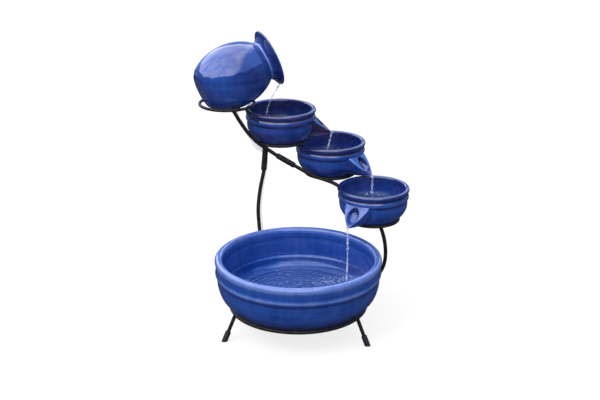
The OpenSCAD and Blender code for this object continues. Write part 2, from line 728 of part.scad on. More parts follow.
// Magnet rotor with straight vanes on a hub
module impeller() {
    front = -step_depth + pump_wall + gap + 0.3;
    color("#5b5f66") at_pump() difference() {
        union() {
            along_y(chamber_depth + 0.5, chamber_depth + 0.5 + magnet_len, magnet_r);
            along_y(chamber_depth - 1.2, chamber_depth + 1, magnet_r - 0.8);
            along_y(front, chamber_depth, shaft_r + 2.4);
            for (i = [0:vanes - 1])
                rotate([0, i * 360 / vanes, 0]) translate([shaft_r + 1, front + 0.5, -0.7])
                    cube([chamber_r - shaft_r - 2.2, chamber_depth - front - 1.4, 1.4]);
        }
        along_y(front - 1, chamber_depth + magnet_len + 2, shaft_r + run);
    }
}

// Intake cover with slots, pushed over the step on the housing's front
slider_z = pump_h / 2 - 9;
slider_w = 10;

module intake_cover() {
    slot_pitch = 5;
    slot_w = 2.4;
    color(black_plastic) at_pump() difference() {
        block(pump_w, -cover_depth, -gap, pump_h);
        block(pump_w - 2 * pump_wall, -cover_depth + pump_wall, 1, pump_h - 2 * pump_wall);
        for (x = [-15:slot_pitch:15])
            translate([x - slot_w / 2, -cover_depth - 1, -pump_h / 2 + 5])
                cube([slot_w, pump_wall + 2, pump_h / 2 - 2]);
        translate([-(flow_travel + slider_w) / 2, -cover_depth - 1, slider_z - 2.5])
            cube([flow_travel + slider_w, pump_wall + 2, 5]);
    }
}

// Slider that covers more or less of the upper intake slot
module flow_slider() {
    color("#3d4046") at_pump() translate([-flow_travel / 2, -cover_depth, slider_z]) {
        translate([-slider_w / 2 + gap, -gap - 3, -4.5]) cube([slider_w - 2 * gap, 3, 9]);
        translate([-slider_w / 2 + gap, -gap - 0.1, -2.5 + gap])
            cube([slider_w - 2 * gap, pump_wall + 2 * gap + 0.2, 5 - 2 * gap]);
        translate([-slider_w / 2 + gap, pump_wall + gap, -4.5]) cube([slider_w - 2 * gap, 1.5, 9]);
    }
}

module suction_cups() {
    color(black_rubber) at_pump() at_cups() {
        translate([0, 0, -1]) cylinder(h = 4, r = 1.8, $fn = 24);
        translate([0, 0, -cup_h]) rotate_extrude($fn = 48)
            polygon([[3, cup_h], [0, cup_h], [0, cup_h - 2], [4.6, 0], [6.4, 0], [6, 0.8]]);
    }
}

module pump_outlet() {
    color(black_plastic) at_pump()
    translate([pump_w / 2, chamber_depth / 2, outlet_z]) rotate([0, 90, 0]) difference() {
        union() {
            translate([0, 0, -3]) cylinder(h = 4, r = spigot_r, $fn = 48);
            cylinder(h = 2, r = hose_r, $fn = 48);
            cylinder(h = spigot_len + 2, r = spigot_r, $fn = 48);
        }
        translate([0, 0, -4]) cylinder(h = spigot_len + 8, r = spigot_r - spigot_wall, $fn = 48);
    }
}

// Gland where the pump's lead would leave the housing
module cable_gland() {
    color(black_rubber) at_pump() translate([0, 0, pump_h / 2 - 9]) difference() {
        union() {
            along_y(pump_depth - 4, pump_depth + 1, 4);
            along_y(pump_depth, pump_depth + 2, 5.5);
            along_y(pump_depth, pump_depth + 9, 3.4);
        }
        along_y(pump_depth - 2, pump_depth + 10, 1.8);
    }
}

// Short hose from the pump's outlet to the floor fitting, one bend in the horizontal plane
outlet_at = [pump_x + pump_w / 2 + 2, pump_y + chamber_depth / 2, pump_z + outlet_z];
pump_hose_bend = 18;
arm_from = fitting_y - stem_r;
arm_z = outlet_at[2];

module pump_hose_corner(x, r) {
    translate(outlet_at + [x, pump_hose_bend, 0]) rotate([0, 0, -90]) rotate_extrude(angle = 90, $fn = 96)
        translate([pump_hose_bend, 0]) circle(r = r, $fn = 40);
}

module pump_hose() {
    straight_x = fitting_x - pump_hose_bend - outlet_at[0];
    color(clear_vinyl) placed() difference() {
        union() {
            bar(outlet_at, outlet_at + [straight_x, 0, 0], hose_r);
            pump_hose_corner(straight_x, hose_r);
            bar([fitting_x, outlet_at[1] + pump_hose_bend, arm_z], [fitting_x, arm_from, arm_z], hose_r);
        }
        bar(outlet_at - [1, 0, 0], outlet_at + [straight_x, 0, 0], hose_id / 2);
        pump_hose_corner(straight_x, hose_id / 2);
        bar([fitting_x, outlet_at[1] + pump_hose_bend, arm_z], [fitting_x, arm_from + 1, arm_z], hose_id / 2);
    }
}

// Elbow fitting through the basin's floor, with a seal above and a nut below
flange_z = basin_floor_z + seal_t;
nut_top = foot_plane + basin_recess;
stem_end = nut_top - nut_t - 2;
lower_spigot_end = stem_end - 14;

module floor_fitting() {
    bore = spigot_r - spigot_wall;
    color(black_plastic) placed() translate([fitting_x, fitting_y, 0]) difference() {
        union() {
            translate([0, 0, flange_z]) cylinder(h = flange_t, r = flange_r, $fn = 48);
            translate([0, 0, stem_end]) cylinder(h = arm_z - stem_end, r = stem_r, $fn = 48);
            translate([0, 0, arm_z]) sphere(r = stem_r, $fn = 48);
            translate([0, 0, lower_spigot_end]) cylinder(h = 20, r = spigot_r, $fn = 48);
            translate([0, -stem_r - spigot_len, arm_z]) rotate([-90, 0, 0])
                cylinder(h = spigot_len + 4, r = spigot_r, $fn = 48);
        }
        translate([0, 0, lower_spigot_end - 1])
            cylinder(h = arm_z - lower_spigot_end + 1, r = bore, $fn = 48);
        translate([0, -stem_r - spigot_len - 1, arm_z]) rotate([-90, 0, 0])
            cylinder(h = spigot_len + stem_r + 1, r = bore, $fn = 48);
    }
}

module floor_seal() {
    color(black_rubber) placed() translate([fitting_x, fitting_y, basin_floor_z]) difference() {
        cylinder(h = seal_t, r = flange_r - 0.5, $fn = 48);
        translate([0, 0, -1]) cylinder(h = seal_t + 2, r = stem_r, $fn = 48);
    }
}

module floor_nut() {
    color(black_plastic) placed() translate([fitting_x, fitting_y, nut_top - nut_t]) difference() {
        cylinder(h = nut_t, r = flange_r, $fn = 6);
        translate([0, 0, -1]) cylinder(h = nut_t + 2, r = stem_r, $fn = 48);
    }
}

// Feed hose: down from the floor fitting, under the basin, up behind the left post and the rail, into the jar
hose_start = [fitting_x, fitting_y, stem_end];
beside_post = [3.5, 9.2, 0];
function rail_at(t) = sagging(jar_weld, upper_weld, upper_sag, t);
function over_hole(z) = [jar_hole[0], jar_hole[1], z];
function beneath(x, y, z) = [x * basin_r, y * basin_r, z * foot_plane];
bush_step = (bush_high - bush_low) / 3;
hose_route = concat(
    [for (drop = [0, 7.5, 15, 22.5]) hose_start - [0, 0, drop]],
    [hose_start + [-2, 3, -29], hose_start + [-6, 9, -33.5], hose_start + [-14, 20, -36],
     hose_start + [-26, 38, -37], beneath(-0.082, 0.271, 0.350), beneath(-0.224, 0.494, 0.342),
     beneath(-0.341, 0.694, 0.376), beneath(-0.435, 0.859, 0.530), beneath(-0.465, 0.941, 0.889),
     left_bend[4] + beside_post + [0, 2, 0]],
    [for (i = [3:-1:0]) left_bend[i] + beside_post],
    [socket_to + [3, 11.5, -4], socket_from + [1, 11.5, -24], upper_weld + [-5, 11, -11],
     rail_at(0.8) + [-6, 7, -9], rail_at(0.6) + [-3.5, 8, -4], rail_at(0.4) + [-0.5, 10.8, -4],
     over_hole(bush_low) + [12, -3.5, -29], over_hole(bush_low) + [3, -1, -17]],
    [for (i = [-1:2]) over_hole(bush_low + i * bush_step)],
    [over_hole(bush_high + 0.75 * bush_step)]);

module feed_hose() {
    color(clear_vinyl) placed() tube_along(smooth_route(hose_route, 3), hose_r, hose_id / 2);
}

// Clip that holds the feed hose to the left post, low down behind the basin
module clip_at(i) {
    dir = unit(left_bend[i - 1] - left_bend[i + 1]);
    side = beside_post - (beside_post * dir) * dir;
    hose_side = clip_local(dir, side);
    translate(left_bend[i]) aim(dir) translate([0, 0, -clip_w / 2])
    linear_extrude(height = clip_w) difference() {
        union() {
            circle(r = rod_r + push + clip_t, $fn = 48);
            translate(hose_side) circle(r = hose_r + push + clip_t, $fn = 48);
        }
        circle(r = rod_r + push, $fn = 48);
        translate(hose_side) circle(r = hose_r + push, $fn = 48);
    }
}

// Where a sideways offset falls in the plane that aim(dir) lays across the post
function clip_local(dir, side) =
    let (tilt = acos(dir[2] / norm(dir)), az = atan2(dir[1], dir[0]))
    let (ex = [cos(tilt) * cos(az), cos(tilt) * sin(az), -sin(tilt)], ey = [-sin(az), cos(az), 0])
    [side * ex, side * ey];

module hose_clip() {
    color(black_plastic) placed() clip_at(3);
}

basin();
bowl(upper_at, upper_spout_az);  // upper_bowl
bowl(middle_at, middle_spout_az);  // middle_bowl
bowl(lower_at, lower_spout_az);  // lower_bowl
jar();
jar_ring();
bowl_ring(upper_at);  // upper_ring
bowl_ring(middle_at);  // middle_ring
bowl_ring(lower_at);  // lower_ring
basin_ring();
upper_rail();
lower_rail();
rail_sleeve();
left_post();
left_post_socket();
right_post();
leg(left_leg_az);  // left_leg
leg(right_leg_az);  // right_leg
leg(rear_leg_az);  // rear_leg
foot(left_leg_az);  // left_foot
foot(right_leg_az);  // right_foot
foot(rear_leg_az);  // rear_foot
pump_housing();
impeller_cover();
impeller();
impeller_shaft();
shaft_bushes();
intake_cover();
flow_slider();
suction_cups();
pump_outlet();
cable_gland();
pump_hose();
floor_fitting();
floor_seal();
floor_nut();
feed_hose();
hose_clip();
jar_bush();
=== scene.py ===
import bmesh
import bpy
import json
import math
import random
from mathutils import Matrix, Vector, noise


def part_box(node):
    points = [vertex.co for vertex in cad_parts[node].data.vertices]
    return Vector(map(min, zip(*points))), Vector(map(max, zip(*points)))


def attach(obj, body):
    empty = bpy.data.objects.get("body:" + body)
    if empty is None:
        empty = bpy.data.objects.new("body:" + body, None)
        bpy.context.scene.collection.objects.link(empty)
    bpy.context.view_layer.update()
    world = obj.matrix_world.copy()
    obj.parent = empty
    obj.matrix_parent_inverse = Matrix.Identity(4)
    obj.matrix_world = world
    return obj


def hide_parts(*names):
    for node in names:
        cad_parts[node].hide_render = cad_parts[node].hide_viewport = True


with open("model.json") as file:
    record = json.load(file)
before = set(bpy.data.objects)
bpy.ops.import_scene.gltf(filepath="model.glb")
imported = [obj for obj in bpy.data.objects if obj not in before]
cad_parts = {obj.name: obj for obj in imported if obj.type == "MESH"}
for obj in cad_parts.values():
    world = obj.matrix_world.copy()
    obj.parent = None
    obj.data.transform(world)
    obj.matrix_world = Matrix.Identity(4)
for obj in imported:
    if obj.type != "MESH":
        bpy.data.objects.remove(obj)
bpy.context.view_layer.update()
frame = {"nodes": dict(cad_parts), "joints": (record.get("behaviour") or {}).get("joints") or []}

# ----------------------------------------------------------------------------------------------------
# The place where the fountain stands: a white sweep of paper under a bright overcast sky, open to the
# left and behind, with a darker mass to the right. The camera looks down on it from a little above.

LENS, SENSOR = 78.64, 36  # mm, and the places here in metres
CAMERA_AT = (-0.00207, -2.53073, 1.17175)
CAMERA_DIP = 19.9526
PAPER_SIZE = 12
LAMP_AT, LAMP_AIM = Vector((-1.9, -2.0, 2.9)), Vector((0, 0, 0.2))
LAMP_WIDE, LAMP_HIGH, LAMP_WATTS = 2.4, 1.8, 74


def add_object(name, data):
    """An object that is put into the scene."""
    thing = bpy.data.objects.new(name, data)
    bpy.context.scene.collection.objects.link(thing)
    return thing


camera_data = bpy.data.cameras.new("camera")
camera_data.lens = LENS
camera_data.sensor_width = SENSOR
camera_data.clip_start = 0.1
camera_data.clip_end = 50
camera = add_object("camera", camera_data)
camera.location = CAMERA_AT
camera.rotation_euler = (math.radians(90 - CAMERA_DIP), 0, 0)
bpy.context.scene.camera = camera
bpy.context.scene.view_settings.view_transform = "Standard"


class Tree:
    """A node tree that is written down node by node."""

    def __init__(self, tree):
        self.tree = tree
        tree.nodes.clear()

    def add(self, kind, inputs=None, **settings):
        node = self.tree.nodes.new("ShaderNode" + kind)
        for key, value in settings.items():
            setattr(node, key, value)
        for key, value in (inputs or {}).items():
            if isinstance(value, bpy.types.NodeSocket):
                self.tree.links.new(value, node.inputs[key])
            else:
                node.inputs[key].default_value = value
        return node

    def out(self, kind, inputs=None, output=0, **settings):
        """A new node's output."""
        return self.add(kind, inputs, **settings).outputs[output]

    def math(self, operation, a, b=0.0):
        return self.out("Math", {0: a, 1: b}, operation=operation)

    def sum(self, first, *others):
        for other in others:
            first = self.math("ADD", first, other)
        return first

    def spread(self, value, amount):
        """A value that lies around 0.5, moved to lie around 0 and scaled."""
        return self.math("MULTIPLY", self.math("SUBTRACT", value, 0.5), amount)

    def grain(self, where, scale, detail, **more):
        """Fine or coarse unevenness, around 0.5."""
        inputs = {"Vector": where, "Scale": scale, "Detail": detail}
        inputs.update((key.capitalize(), value) for key, value in more.items())
        return self.out("TexNoise", inputs, "Fac")

    def ramp(self, factor, *stops, smooth=False):
        node = self.add("ValToRGB", {"Fac": factor})
        ramp = node.color_ramp
        ramp.interpolation = "EASE" if smooth else "LINEAR"
        while len(ramp.elements) < len(stops):
            ramp.elements.new(0.5)
        for element, (place, colour) in zip(ramp.elements, stops):
            element.position = place
            element.color = (*colour, 1)
        return node.outputs["Color"]

    def mask(self, factor, start, end, low=0.0, high=1.0, smooth=False):
        """From low, where the factor is at start, to high, where it is at end."""
        stops = sorted(((start, (low, low, low)), (end, (high, high, high))))
        return self.ramp(factor, *stops, smooth=smooth)

    def mix(self, factor, a, b):
        return self.out("Mix", {"Factor": factor, "A": a, "B": b}, "Result", data_type="RGBA")

    def bump(self, height, strength, distance):
        return self.out("Bump", {"Height": height, "Strength": strength, "Distance": distance})

    def either(self, share, first, second):
        """The first shader where share is 0, and the second where it is 1."""
        return self.out("MixShader", {0: share, 1: first, 2: second})

    def by_ray(self, lighting, mirrored, seen):
        """One shader for the light that it gives, one for reflections, and one for what is seen."""
        path = self.add("LightPath")
        unseen = self.either(path.outputs["Is Glossy Ray"], lighting, mirrored)
        direct = self.math("MAXIMUM", path.outputs["Is Camera Ray"], path.outputs["Is Transmission Ray"])
        return self.either(direct, unseen, seen)


def new_material(name):
    material = bpy.data.materials.new(name)
    material.use_nodes = True
    return material, Tree(material.node_tree)


# Sky: bright cloud to the left and overhead, blue to the right, dark ground and trees low down
world = bpy.data.worlds.new("sky")
world.use_nodes = True
bpy.context.scene.world = world
t = Tree(world.node_tree)
direction = t.out("TexCoord", output="Generated")
split = t.add("SeparateXYZ", {0: direction})
edge = t.grain(direction, 2.6, 3.0)
behind = t.math("MAXIMUM", split.outputs["Y"], 0.0)
aside = t.mask(t.math("ABSOLUTE", split.outputs["X"]), 0.12, 0.30)
raised = t.math("SUBTRACT", t.math("MULTIPLY", aside, 0.43), 0.24)
height = t.sum(split.outputs["Z"], t.spread(edge, 0.22), t.math("MULTIPLY", behind, raised))
hedge = t.mix(behind, (0.06, 0.075, 0.11, 1), (0.30, 0.52, 1.10, 1))
rightward = t.sum(split.outputs["X"], t.spread(edge, 0.3))
billows = t.grain(direction, 2.8, 1.5, roughness=0.5)
bright = t.ramp(billows, (0.38, (2.1, 2.4, 3.8)), (0.60, (3.3, 3.4, 4.4)), smooth=True)
sky = t.mix(t.mask(rightward, 0.46, 0.30), (0.45, 0.95, 2.5, 1), bright)
mirrored = t.mix(t.mask(height, 0.37, 0.42), hedge, sky)
soft = t.out("Background", {"Color": (0.97, 0.98, 1.0, 1), "Strength": 1.0})
shine = t.out("Background", {"Color": mirrored, "Strength": 1.0})
white = t.out("Background", {"Color": (1, 1, 1, 1), "Strength": 1.0})
t.add("OutputWorld", {"Surface": t.by_ray(soft, shine, white)})

# Paper under the feet, white to the eye and keeping a soft shadow
bpy.ops.mesh.primitive_plane_add(size=PAPER_SIZE, location=(0, 0, 0))
paper = bpy.context.object
paper.name = "paper_floor"
white_paper, t = new_material("white_paper")
matt = t.out("BsdfDiffuse", {"Color": (0.27, 0.27, 0.27, 1)})
glow = t.out("Emission", {"Color": (1, 1, 1, 1), "Strength": 0.78})
shown = t.out("AddShader", {0: matt, 1: glow})
ground = t.out("BsdfDiffuse", {"Color": (0.05, 0.055, 0.07, 1)})
bounce = t.out("BsdfDiffuse", {"Color": (0.30, 0.30, 0.31, 1)})
t.add("OutputMaterial", {"Surface": t.by_ray(bounce, ground, shown)})
paper.data.materials.append(white_paper)

lamp_data = bpy.data.lights.new("window", "AREA")
lamp_data.shape = "RECTANGLE"
lamp_data.size = LAMP_WIDE
lamp_data.size_y = LAMP_HIGH
lamp_data.energy = LAMP_WATTS
lamp_data.color = (1.0, 0.985, 0.96)
lamp = add_object("window", lamp_data)
lamp.location = LAMP_AT
lamp.rotation_euler = (LAMP_AIM - LAMP_AT).to_track_quat("-Z", "Y").to_euler()
lamp.visible_glossy = False

# ----------------------------------------------------------------------------------------------------
# Basin: a wide stoneware bowl thrown on a wheel, with a rolled lip, a ridge outside and a ledge inside.
# It is glazed cobalt blue all over, and its turned foot stands on the ring of the stand. The pump's
# hose leaves it through a hole drilled in its floor.

# Sizes from here on are in millimetres, and angles in degrees
BASIN_R, BASIN_FOOT_Z, BASIN_TOP, BASIN_LIP_R = 170.0, 58.5, 160.0, 8.0
FLOOR_R, FLOOR_H = 124.0, 20.5
GROOVE_PITCH, GROOVE_DEPTH, GROOVE_STEP = 11.5, 0.9, 2.3
FITTING_X, FITTING_Y, FITTING_HOLE_R = 30, -20, 6.1
UNDER_FLOOR_Z, OVER_FLOOR_Z = 60, 100
STAND = "stand"

basin_low, basin_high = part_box("basin")
basin_axis = (basin_low + basin_high) / 2


def mm(x, y, z):
    """A place in millimetres from the basin's axis and the floor."""
    return Vector((basin_axis.x + x / 1000, basin_axis.y + y / 1000, z / 1000))


def neighbours(points, i):
    """The two ends of stretch i of a line, with the points before and after them."""
    return points[max(i - 1, 0)], points[i], points[i + 1], points[min(i + 2, len(points) - 1)]


def curve(p, q, r, s, u):
    """Where a smooth line through four points is, a share u of the way from the second to the third."""
    bend, twist = 2 * p - 5 * q + 4 * r - s, 3 * q - p - 3 * r + s
    return 0.5 * (2 * q + (r - p) * u + bend * u * u + twist * u ** 3)


def rounded(points, steps):
    """A smooth line through points of (radius, height, glaze)."""
    line = []
    for i in range(len(points) - 1):
        for k in range(steps):
            line.append(tuple(curve(*four, k / steps) for four in zip(*neighbours(points, i))))
    line.append(tuple(points[-1]))
    return line


def arc(cx, cz, r, start, end, steps, glaze):
    """A round stretch of a profile, in degrees from level. glaze gives the shade along it."""
    line = []
    for i in range(steps + 1):
        angle = math.radians(start + (end - start) * i / steps)
        line.append((cx + r * math.cos(angle), cz + r * math.sin(angle), glaze(i / steps)))
    return line


def piece_from(bm, name):
    """The piece whose mesh has been drawn in bm."""
    mesh = bpy.data.meshes.new(name)
    bm.to_mesh(mesh)
    bm.free()
    return add_object(name, mesh)


def turned(name, line, around, wobble=0.0, closed=False, seed=0):
    """A mesh turned about Z from a line of (radius, height, glaze) in mm. wobble pulls it in unevenly."""
    bm = bmesh.new()
    layer = bm.verts.layers.float.new("glaze")
    rings = []
    for r, z, glaze in line:
        on_axis = r < 0.01
        ring = []
        for k in range(1 if on_axis else around):
            angle = 2 * math.pi * k / around
            uneven = 0.5 + 0.3 * math.sin(2 * angle + seed)
            uneven += 0.2 * math.sin(3 * angle + 2.1 * seed + z / 17)
            reach = 0.0 if on_axis else r * (1 - wobble * uneven)
            vert = bm.verts.new((reach * math.cos(angle) / 1000, reach * math.sin(angle) / 1000, z / 1000))
            vert[layer] = glaze
            ring.append(vert)
        rings.append(ring)
    pairs = list(zip(rings, rings[1:]))
    if closed:
        pairs.append((rings[-1], rings[0]))
    for low, high in pairs:
        for k in range(around):
            n = (k + 1) % around
            corners = [low[k % len(low)], low[n % len(low)], high[n % len(high)], high[k % len(high)]]
            unique = list(dict.fromkeys(corners))
            if len(unique) > 2:
                bm.faces.new(unique)
    bmesh.ops.recalc_face_normals(bm, faces=bm.faces)
    for face in bm.faces:
        face.smooth = True
    return piece_from(bm, name)


def solid(name, outline, around, glaze=0.5):
    """A closed turned shape of one shade, from an outline of (radius, height) in mm."""
    return turned(name, [(r, z, glaze) for r, z in outline], around)


def place(piece, matrix):
    piece.data.transform(matrix)
    piece.data.update()
    return piece


def glazed(name, shift, mottle, warmth, streak=90.0, deep=0.0):
    """Cobalt glazing: it pools blue in hollows, and breaks brown and pale where it runs thin over edges.
    The shade it reads from the mesh also holds painted highlight and painted shade, on the basin and the
    spouts.
    """
    material, t = new_material(name)
    where = t.out("TexCoord", output="Object")
    moved = t.out("Mapping", {"Vector": where, "Location": (shift, shift * 0.7, shift * 1.3)})
    clouds = t.grain(moved, 24.0, 5.0, roughness=0.62)
    tall = t.out("Mapping", {"Vector": moved, "Scale": (70.0, 70.0, 9.0)})
    runs = t.grain(tall, 1.6, 4.0, roughness=0.6)
    flat = t.out("Mapping", {"Vector": moved, "Scale": (3.0, 3.0, streak)})
    lines = t.grain(flat, 2.4, 4.0, distortion=0.3)
    specks = t.grain(moved, 240.0, 2.0)
    # The shade read here holds painted highlight and painted shade as well as the glazing's own tone.
    glaze_and_light_level = t.out("Attribute", output="Fac", attribute_name="glaze")
    glaze_and_light_tone = t.sum(t.math("SUBTRACT", glaze_and_light_level, deep), t.spread(clouds, mottle), t.spread(lines, mottle * 0.8),
                  t.spread(runs, mottle * 0.55), t.spread(specks, 0.12))
    blue = t.ramp(glaze_and_light_tone, (0.04, (0.040, 0.022, 0.034)), (0.20, (0.006, 0.009, 0.052)),
                  (0.40, (0.008, 0.030, 0.190)), (0.64, (0.016, 0.085, 0.400)),
                  (1.00, (0.220, 0.300, 0.660)))
    purple = t.math("MULTIPLY", t.mask(clouds, 0.44, 0.66, smooth=True), warmth)
    tint = t.mix(purple, blue, (0.062, 0.034, 0.112, 1))
    skin = t.sum(t.math("MULTIPLY", specks, 0.10), t.sum(t.math("MULTIPLY", lines, 0.9), clouds))
    bump = t.bump(skin, 0.13, 0.0012)
    shader = t.out("BsdfPrincipled", {
        "Base Color": tint, "Roughness": 0.45, "IOR": 1.4, "Specular IOR Level": 0.12, "Coat Weight": 1.0,
        "Coat Roughness": 0.03, "Coat IOR": 1.65, "Normal": bump, "Coat Normal": bump})
    t.add("OutputMaterial", {"Surface": shader})
    return material


def baked_shape(piece):
    """Takes the modified shape as the piece's own mesh."""
    bpy.context.view_layer.update()
    graph = bpy.context.evaluated_depsgraph_get()
    shape = piece.evaluated_get(graph)
    mesh = bpy.data.meshes.new_from_object(shape, preserve_all_data_layers=True, depsgraph=graph)
    piece.modifiers.clear()
    old = piece.data
    piece.data = mesh
    bpy.data.meshes.remove(old)


def cut(piece, cutter):
    """Cuts one closed shape out of another, as a drill or a knife does in leather-hard clay."""
    modifier = piece.modifiers.new("cut", "BOOLEAN")
    modifier.object = cutter
    modifier.operation = "DIFFERENCE"
    modifier.solver = "EXACT"
    baked_shape(piece)
    bpy.data.objects.remove(cutter)


def drill(name, start, end, radius):
    """A round bar from start to end, for drilling holes."""
    length = (end - start).length * 1000
    bar = solid(name, [(0, 0), (radius, 0), (radius, length), (0, length)], 48, glaze=0.35)
    turn = (end - start).to_track_quat("Z", "Y").to_matrix().to_4x4()
    return place(bar, Matrix.Translation(start) @ turn)


# The profile runs from the middle of the underside, over the lip, to the middle of the floor inside.
# Heights are above the foot, and the third value is the shade of the glazing, from 0, dark, to 1, pale.
# Most of it is the glazing's own tone; where noted below it also holds painted highlight and painted
# shade.
underside = [(0, 8, 0.3), (60, 8, 0.3), (125, 8, 0.3), (127, 4, 0.3), (128.5, 0.6, 0.2)]
foot = [(131, 0, 0.1), (137.5, 0, 0.1), (139.6, 0.9, 0.12), (140.4, 3, 0.2)]
belly = [(144, 6.5, 0.38), (150, 13, 0.47), (156, 20.5, 0.52), (160.2, 29, 0.55), (163.2, 39, 0.55),
         (165.0, 48, 0.54), (165.4, 56, 0.50)]
# The pale shade on the outer ridge and on the lip is glazing that runs thin, and also painted highlight.
ridge = [(165.2, 59, 0.36), (166.0, 62.2, 0.46), (168.2, 66.0, 0.70), (169.2, 69.5, 0.82),
         (168.8, 73.0, 0.68)]
shoulder = [(167.8, 77.0, 0.52), (168.0, 83.0, 0.58), (168.8, 88.0, 0.66)]
lip = arc(BASIN_R - BASIN_LIP_R, BASIN_TOP - BASIN_FOOT_Z - BASIN_LIP_R, BASIN_LIP_R, 0, 180, 14,
          lambda u: 0.84 - 0.14 * u)
# Just under the lip inside, the darker shade is painted shade; the pale line on the ledge is thin glazing
# and also painted highlight.
wall = [(154.4, 87.0, 0.56), (153.6, 82.5, 0.48), (153.2, 78.0, 0.52), (153.2, 74.5, 0.61),
        (153.0, 68, 0.57), (152.6, 58.0, 0.54), (151.8, 48.0, 0.56)]
ledge = [(150.8, 43.5, 0.60), (148.6, 40.6, 0.80), (146.4, 38.0, 0.62), (144.6, 34.0, 0.62),
         (140.0, 27.4, 0.70), (133.0, 22.6, 0.76)]
floor = []
r = FLOOR_R
while r > 6:
    rise = 0.5 + 0.5 * math.cos(2 * math.pi * (r - FLOOR_R) / GROOVE_PITCH)
    floor.append((r, FLOOR_H - GROOVE_DEPTH + GROOVE_DEPTH * rise, 0.50 + 0.38 * rise))
    r -= GROOVE_STEP
floor.append((0, FLOOR_H - 0.5, 0.68))
outside = rounded(underside + foot + belly + ridge + shoulder, 3)
inside = rounded(wall + ledge, 3) + floor
basin = turned("glazed_basin", outside + lip + inside, 240, wobble=0.003, seed=1.3)
place(basin, Matrix.Translation(mm(0, 0, BASIN_FOOT_Z)))
under_floor = mm(FITTING_X, FITTING_Y, UNDER_FLOOR_Z)
over_floor = mm(FITTING_X, FITTING_Y, OVER_FLOOR_Z)
cut(basin, drill("floor_drill", under_floor, over_floor, FITTING_HOLE_R))
basin.data.materials.append(glazed("basin_glaze", 0.0, mottle=0.32, warmth=0.12))
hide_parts("basin")
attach(basin, STAND)

# ----------------------------------------------------------------------------------------------------
# Three bowls: thrown stoneware with a thick lip, a ridge band and a round belly. Each has a leaf-shaped
# spout, pressed on by hand over a hole in the wall, with an oval hollow in it that leads the water to
# the tip.

BELLY_X, BELLY_R, WAIST, BOWL_H = 7.0, 65.0, 20.0, 75.0
BOWL_WALL, BOWL_FLOOR, BOWL_FOOT_H = 7.5, 8, 5
BOWL_LIP_X, BOWL_LIP_R = 71.0, 4.75
BULGE, BULGE_TOP, BULGE_FOOT = 0.044, -27, -68
HOLE_START, HOLE_END, HOLE_Z, HOLE_R = 50, 80, -31, 7.0
SPOUT_ROOT_X, SPOUT_ROOT_Z, SPOUT_REACH, SPOUT_DROP = 69.0, -17.0, 110.0, 57.0
SPOUT_HALF_WIDTH, BUD_LENGTH, BUD_LEAN = 27.0, 60, 19
HOLLOW_LONG, HOLLOW_WIDE, HOLLOW_STRETCH, GROOVE_R = 21.6, 12.8, 1.65, 3.0
PRESS_DEPTH, PRESS_CURVE = 14, 240
CLAY_GRAIN = 0.75

fall = math.atan2(SPOUT_DROP + SPOUT_ROOT_Z, SPOUT_REACH - SPOUT_ROOT_X)
spout_len = math.hypot(SPOUT_REACH - SPOUT_ROOT_X, SPOUT_DROP + SPOUT_ROOT_Z)
hollow_x = spout_len * 0.50
joints = {joint["name"]: joint for joint in frame["joints"]}


def metres(x, y, z):
    """A place or a step that is given in millimetres."""
    return Vector((x / 1000, y / 1000, z / 1000))


def bowl_body(name, seed):
    """A bowl without its spout, with the middle of its mouth at 0 and its foot below."""
    low = math.degrees(math.asin((BOWL_H - BOWL_FOOT_H - WAIST) / BELLY_R))
    foot = BELLY_X + BELLY_R * math.cos(math.radians(low)) - 1.5
    base = [(0, -BOWL_H, 0.2), (foot - 8, -BOWL_H, 0.2), (foot - 1.2, -BOWL_H, 0.15),
            (foot, -BOWL_H + 1.2, 0.2), (foot + 0.1, -BOWL_H + 4.2, 0.25)]
    belly = []
    for r, z, glaze in arc(BELLY_X, -WAIST, BELLY_R, -low + 2, -7, 18,
                           lambda u: 0.47 + 0.05 * math.sin(u * 9) + (0.30 if u < 0.07 else 0)):
        down = min(1, max(0, (BULGE_TOP - z) / (BULGE_TOP - BULGE_FOOT)))
        swell = 1 + BULGE * math.sin(math.pi * down)
        belly.append((BELLY_X + (r - BELLY_X) * swell, -WAIST + (z + WAIST) * swell, glaze))
    band = [(71.9, -26.6, 0.28), (72.6, -24.6, 0.20), (74.0, -22.6, 0.46), (74.6, -19.6, 0.56),
            (74.2, -16.8, 0.50), (73.0, -14.6, 0.32), (72.0, -12.6, 0.19), (72.2, -10.2, 0.24)]
    lip = arc(BOWL_LIP_X, -BOWL_LIP_R, BOWL_LIP_R, -38, 215, 22,
              lambda u: 0.36 - 0.19 * math.exp(-((u - 0.44) / 0.16) ** 2))
    inner = BELLY_R - BOWL_WALL
    bottom = math.degrees(math.asin((BOWL_H - BOWL_FLOOR - WAIST) / inner))
    throat = [(66.4, -9.4, 0.26), (65.5, -13.5, 0.32), (64.9, -18.0, 0.36)]
    wall = arc(BELLY_X, -WAIST, inner, -4, -bottom + 4, 16, lambda u: 0.40 + 0.20 * u)
    floor_z = -BOWL_H + BOWL_FLOOR
    floor = [(34, floor_z + 0.2, 0.6), (20, floor_z, 0.6), (0, floor_z, 0.6)]
    line = rounded(base + belly + band, 2) + lip + rounded(throat + wall + floor, 2)
    return turned(name, line, 200, wobble=0.004, seed=seed)


def spout_hole(name):
    """The bar that drills the hole from a bowl into its spout."""
    return drill(name, metres(HOLE_START, 0, HOLE_Z), metres(HOLE_END, 0, HOLE_Z), HOLE_R)


def bowl_room():
    """The room inside a bowl, which the spout doesn't reach into."""
    inner = BELLY_R - BOWL_WALL + 0.4
    wall = [(r, z) for r, z, glaze in arc(BELLY_X, -WAIST, inner, -54, 0, 12, lambda u: 0)]
    return solid("room", [(0, -BOWL_H + BOWL_FLOOR - 1)] + wall + [(65, 4), (0, 4)], 96)


